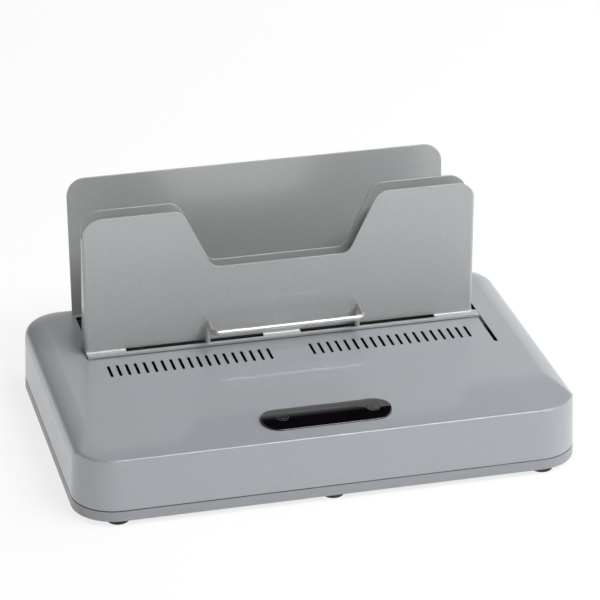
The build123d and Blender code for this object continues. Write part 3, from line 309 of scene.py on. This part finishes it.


# Where the casings are seen from inside, through the well and the slots; there the inner faces get
# near-black painted shade.
DECK_FLOOR = 0.012
DECK_CEILING = 0.0531
DECK_INSIDE = (
    even_box(0.160, -0.076, 0.104, DECK_FLOOR, DECK_CEILING),
    even_box(0.120, 0.100, 0.110, DECK_FLOOR, DECK_CEILING),
)
BASE_FLOOR = 0.0056
BASE_CEILING = 0.030
BASE_INSIDE = (
    even_box(0.1786, -0.098, 0.098, BASE_FLOOR, BASE_CEILING),
    even_box(0.157, -0.1196, 0.1196, BASE_FLOOR, BASE_CEILING),
)

# The two front corners of the top casing, whose shading is softened.
CORNER_X = 0.166
CORNER_HALF = 0.016
CORNER_FRONT = -0.124
CORNER_BACK = -0.072
CORNER_BOTTOM = 0.046
CORNER_TOP = 0.055
CORNER_RADIUS = 0.004
CORNERS = tuple(
    (
        (side * CORNER_X - CORNER_HALF, CORNER_FRONT, CORNER_BOTTOM),
        (side * CORNER_X + CORNER_HALF, CORNER_BACK, CORNER_TOP),
    )
    for side in (-1, 1)
)

# The line between the top and lower casings, all round, where shade is painted into the groove.
PARTING_Z = 0.0117
PARTING_HALF = 0.00045
PAST_THE_CASING = 0.2
PARTING_SHADE_BAND = (
    even_box(
        PAST_THE_CASING,
        -PAST_THE_CASING,
        PAST_THE_CASING,
        PARTING_Z - PARTING_HALF,
        PARTING_Z + PARTING_HALF,
    ),
)

SILVER = (0.370, 0.388, 0.412)
PAINT = (0.438, 0.453, 0.454)
MOULDED = dict(vary=0.02, vary_scale=9.0, rough_vary=0.03, grain_scale=1800.0)
FINISHES = {
    "casing_plastic": dict(
        color=SILVER,
        roughness=0.38,
        metallic=0.30,
        coat=0.6,
        coat_roughness=0.06,
        grain=0.05,
        fleck=0.10,
        painted_inner_shade=DECK_INSIDE,
        painted_groove_shade=PARTING_SHADE_BAND,
        soft=(CORNER_RADIUS, CORNERS),
        **MOULDED,
    ),
    # Painted shade: the lower casing gets a copy of the casing silver made 0.84 as light.
    "base_plastic_painted_shade": dict(
        color=shade(SILVER, 0.84),
        roughness=0.42,
        metallic=0.25,
        coat=0.2,
        coat_roughness=0.2,
        grain=0.08,
        fleck=0.08,
        painted_inner_shade=BASE_INSIDE,
        painted_groove_shade=PARTING_SHADE_BAND,
        **MOULDED,
    ),
    "support_steel": dict(
        color=PAINT,
        roughness=0.40,
        metallic=0.30,
        coat=0.5,
        vary=0.025,
        vary_scale=11.0,
        rough_vary=0.04,
        grain_scale=1500.0,
        grain=0.07,
        fleck=0.08,
        edge=0.0004,
    ),
    "foot_rubber": dict(color=(0.030, 0.031, 0.034), roughness=0.72, grain=0.35),
    "handle_chrome": dict(color=(0.62, 0.595, 0.60), roughness=0.36, metallic=1.0, grain=0.05),
    "zinc_steel": dict(
        color=(0.36, 0.37, 0.39),
        roughness=0.42,
        metallic=0.9,
        vary=0.12,
        vary_scale=60.0,
        rough_vary=0.12,
    ),
    "fibre_board": dict(
        color=(0.72, 0.69, 0.61), roughness=0.9, vary=0.10, grain_scale=900.0, grain=0.6
    ),
    "heater_mat": dict(color=(0.45, 0.13, 0.04), roughness=0.6, grain_scale=1200.0, grain=0.4),
    "plate_aluminium": dict(
        color=(0.10, 0.10, 0.105),
        roughness=0.38,
        metallic=0.85,
        vary=0.08,
        rough_vary=0.08,
        grain_scale=700.0,
        grain=0.25,
        stretch=(0.03, 1.0, 1.0),
    ),
    "thermostat_body": dict(color=(0.06, 0.045, 0.035), roughness=0.45),
    "fuse_tin": dict(color=(0.62, 0.62, 0.60), roughness=0.35, metallic=0.9),
    "white_nylon": dict(color=(0.68, 0.67, 0.63), roughness=0.5, vary=0.03),
    "rod_steel": dict(color=(0.62, 0.62, 0.64), roughness=0.2, metallic=1.0, rough_vary=0.08),
    "dark_nylon": dict(color=(0.045, 0.045, 0.05), roughness=0.55, grain=0.25),
    "panel_black": dict(
        color=(0.0024, 0.0016, 0.0026),
        roughness=0.07,
        coat=0.8,
        coat_roughness=0.04,
        vary=0.2,
        vary_scale=40.0,
        rough_vary=0.02,
        grain=0.012,
    ),
    "light_green": dict(color=(0.10, 0.42, 0.13), roughness=0.2),
    "board_green": dict(color=(0.010, 0.10, 0.035), roughness=0.35, vary=0.15, vary_scale=150.0),
    "part_black": dict(color=(0.020, 0.020, 0.022), roughness=0.5, grain=0.3),
    "relay_blue": dict(color=(0.02, 0.08, 0.32), roughness=0.4),
    "sink_aluminium": dict(
        color=(0.62, 0.62, 0.64),
        roughness=0.35,
        metallic=1.0,
        grain_scale=900.0,
        stretch=(1.0, 1.0, 0.04),
    ),
    "capacitor_sleeve": dict(color=(0.02, 0.03, 0.08), roughness=0.3),
    "terminal_green": dict(color=(0.03, 0.26, 0.08), roughness=0.45),
    "pin_brass": dict(color=(0.66, 0.60, 0.44), roughness=0.28, metallic=1.0),
    "lead_white": dict(color=(0.70, 0.69, 0.65), roughness=0.5),
    "lead_black": dict(color=(0.02, 0.02, 0.02), roughness=0.42),
    "cable_grey": dict(color=(0.30, 0.31, 0.33), roughness=0.5),
    "screw_steel": dict(color=(0.52, 0.52, 0.53), roughness=0.3, metallic=1.0, rough_vary=0.1),
    "mark_grey": dict(
        color=(0.085, 0.082, 0.086), roughness=0.22, vary=0.1, vary_scale=300.0, grain=0.02
    ),
}
PEBBLE_PITCH = 0.0011
LOOKS = {name: surface(name, **finish) for name, finish in FINISHES.items()}
LOOKS["lens_smoke"] = pebbled(
    "lens_smoke", (0.018, 0.017, 0.019), (0.085, 0.080, 0.086), PEBBLE_PITCH
)
glowing(LOOKS["light_green"], (0.1, 0.5, 0.15), 0.3)

slot_of = {part["node"]: part["material_slot"] for part in record["subparts"]}
for name, node in frame["nodes"].items():
    node.data.materials.clear()
    # The lower casing takes the darker copy of the silver, as painted shade.
    look = "base_plastic_painted_shade" if name == "lower_casing" else slot_of[name]
    node.data.materials.append(LOOKS[look])

# ---------------------------------------------------------------- marks on the panel
PANEL_AT = Vector((0.0, -0.0938, 0.052254))
PANEL_TILT = math.atan2(0.07395, 0.99726)  # the slope of the casing's front
DOME_RISE = 0.0022
DOME_SPAN = 0.120  # twice the dome's radius
BUTTON_X = -0.0315
RING_RADIUS = 0.0041
ARC_RADIUS = 0.0021
STROKE_FOOT = 0.0006
STROKE_STEP = 0.0002
STROKE_POINTS = 11
BEAD_RADIUS = 0.00022
BEAD_SINK = 0.00008
BEAD_SIDES = 8


def panel_point(x, y, lift):
    """A point on the panel's dome, lifted off it, from the panel's own x and y."""
    z = DOME_RISE - y * y / DOME_SPAN + lift
    cos, sin = math.cos(PANEL_TILT), math.sin(PANEL_TILT)
    return PANEL_AT + Vector((x, y * cos - z * sin, y * sin + z * cos))


def bead_ring(builder, at, along):
    """One ring of a bead's corners, round a point of its path."""
    ring = []
    for k in range(BEAD_SIDES):
        turn = 2 * math.pi * k / BEAD_SIDES
        side = BEAD_RADIUS * math.cos(turn)
        lift = BEAD_RADIUS * math.sin(turn) - BEAD_SINK
        place = panel_point(at[0] - along.y * side, at[1] + along.x * side, lift)
        ring.append(builder.verts.new(place))
    return ring


def bead(name, paths, body, look):
    """Fine round beads that follow the dome, sunk a little into it."""
    builder = bmesh.new()
    for path, closed in paths:
        rings = []
        count = len(path)
        for i, at in enumerate(path):
            before = path[(i - 1) % count] if closed or i > 0 else at
            after = path[(i + 1) % count] if closed or i < count - 1 else at
            along = Vector((after[0] - before[0], after[1] - before[1])).normalized()
            rings.append(bead_ring(builder, at, along))
        pairs = list(zip(rings, rings[1:]))
        if closed:
            pairs.append((rings[-1], rings[0]))
        for one, two in pairs:
            for k in range(BEAD_SIDES):
                j = (k + 1) % BEAD_SIDES
                builder.faces.new((one[k], one[j], two[j], two[k]))
        if not closed:
            builder.faces.new(rings[0][::-1])
            builder.faces.new(rings[-1])
    bmesh.ops.recalc_face_normals(builder, faces=builder.faces)
    mesh = bpy.data.meshes.new(name)
    builder.to_mesh(mesh)
    builder.free()
    mesh.shade_smooth()
    mesh.materials.append(look)
    piece = bpy.data.objects.new(name, mesh)
    scene.collection.objects.link(piece)
    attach(piece, body)


def arc(x, radius, start, end, count):
    """Points along an arc about (x, 0) of the panel, angles in degrees from +x."""
    turns = [math.radians(start + (end - start) * i / (count - 1)) for i in range(count)]
    return [(x + radius * math.cos(t), radius * math.sin(t)) for t in turns]


stroke = [(BUTTON_X, STROKE_FOOT + STROKE_STEP * i) for i in range(STROKE_POINTS)]
bead(
    "power_mark",
    [
        (arc(BUTTON_X, RING_RADIUS, 0, 352, 45), True),
        (arc(BUTTON_X, ARC_RADIUS, 125, 415, 30), False),
        (stroke, False),
    ],
    "power_button",
    LOOKS["mark_grey"],
)

# ---------------------------------------------------------------- floor
FLOOR_SIZE = 12.0
FLOOR_COLOR = (0.86, 0.86, 0.86)
FLOOR_WHITENESS = 0.80  # how far the camera and reflections see the floor as white


def pale_stage(name, diffuse, share):
    """A pale matt material that the camera and reflections see nearly white."""
    graph = Graph(name)
    graph.nodes.remove(graph.shader)
    matt = graph.nodes.new("ShaderNodeBsdfDiffuse")
    graph.join(diffuse, matt.inputs["Color"])
    white = graph.nodes.new("ShaderNodeEmission")
    graph.join(1.0, white.inputs["Strength"])
    rays = graph.nodes.new("ShaderNodeLightPath").outputs
    seen = graph.math("MAXIMUM", rays["Is Camera Ray"], rays["Is Glossy Ray"])
    seen = graph.math("MAXIMUM", seen, rays["Is Transmission Ray"])
    mixer = graph.nodes.new("ShaderNodeMixShader")
    graph.join(graph.math("MULTIPLY", seen, share), mixer.inputs[0])
    graph.join(matt.outputs[0], mixer.inputs[1])
    graph.join(white.outputs[0], mixer.inputs[2])
    graph.join(mixer.outputs[0], graph.output.inputs["Surface"])
    return graph.material


floor_mesh = bpy.data.meshes.new("floor")
floor_builder = bmesh.new()
bmesh.ops.create_grid(floor_builder, x_segments=1, y_segments=1, size=FLOOR_SIZE / 2)
floor_builder.to_mesh(floor_mesh)
floor_builder.free()
floor = bpy.data.objects.new("floor", floor_mesh)
floor_mesh.materials.append(pale_stage("floor_white", FLOOR_COLOR, FLOOR_WHITENESS))
scene.collection.objects.link(floor)

# ---------------------------------------------------------------- sky
DIFFUSE_SKY = 0.16
HIGH_SKY = 0.01  # what gloss sees overhead
LOW_SKY = 0.9  # and towards the horizon
SKY_HEIGHTS = (0.32, 0.66)  # between these the low sky turns into the high one
SKY_SIDES = (-0.30, 0.60)  # between these the left sky turns into the right one
LEFT_SKY_SHARE = 0.30
RIGHT_SKY_SHARE = 1.15

world = bpy.data.worlds.new("world")
scene.world = world
world.use_nodes = True
sky = Wiring(world.node_tree)
background = sky.nodes["Background"]
sky.join((1.0, 1.0, 1.0), background.inputs["Color"])
rays = sky.nodes.new("ShaderNodeLightPath").outputs
direction = sky.nodes.new("ShaderNodeSeparateXYZ")
sky.join(sky.nodes.new("ShaderNodeTexCoord").outputs["Generated"], direction.inputs[0])
height_sky = sky.remap(direction.outputs["Z"], LOW_SKY, HIGH_SKY, *SKY_HEIGHTS, "SMOOTHSTEP")
side_share = sky.remap(
    direction.outputs["X"], LEFT_SKY_SHARE, RIGHT_SKY_SHARE, *SKY_SIDES, "SMOOTHSTEP"
)
glossy_sky = sky.math("MULTIPLY", height_sky, side_share)
lit = sky.remap(rays["Is Glossy Ray"], DIFFUSE_SKY, glossy_sky, 0.0, 1.0)
seen_plain = sky.math("MAXIMUM", rays["Is Camera Ray"], rays["Is Transmission Ray"])
sky.join(sky.remap(seen_plain, lit, 1.0, 0.0, 1.0), background.inputs["Strength"])

# ---------------------------------------------------------------- lamps
LAMP_TARGET = Vector((0, 0, 0.05))


def area_lamp(name, place, size, watts, gloss=True):
    """A soft lamp aimed at the object, which shows in reflections only with gloss."""
    data = bpy.data.lights.new(name, "AREA")
    data.shape = "RECTANGLE"
    data.size, data.size_y = size
    data.energy = watts
    lamp = bpy.data.objects.new(name, data)
    lamp.location = place
    lamp.rotation_euler = (LAMP_TARGET - Vector(place)).to_track_quat("-Z", "Y").to_euler()
    lamp.visible_camera = False
    lamp.visible_glossy = gloss
    scene.collection.objects.link(lamp)


area_lamp("key", (1.5, 0.1, 0.95), (1.8, 1.8), 19.0, gloss=False)
area_lamp("top_front", (0.8, -1.2, 1.9), (1.4, 0.4), 38.0)
area_lamp("top", (0.4, -0.35, 2.2), (1.0, 0.6), 12.5)
area_lamp("back_fill", (0.4, 2.2, 0.9), (1.6, 1.0), 12.0, gloss=False)
area_lamp("left", (-1.2, -1.9, 0.6), (1.2, 0.8), 1.5)
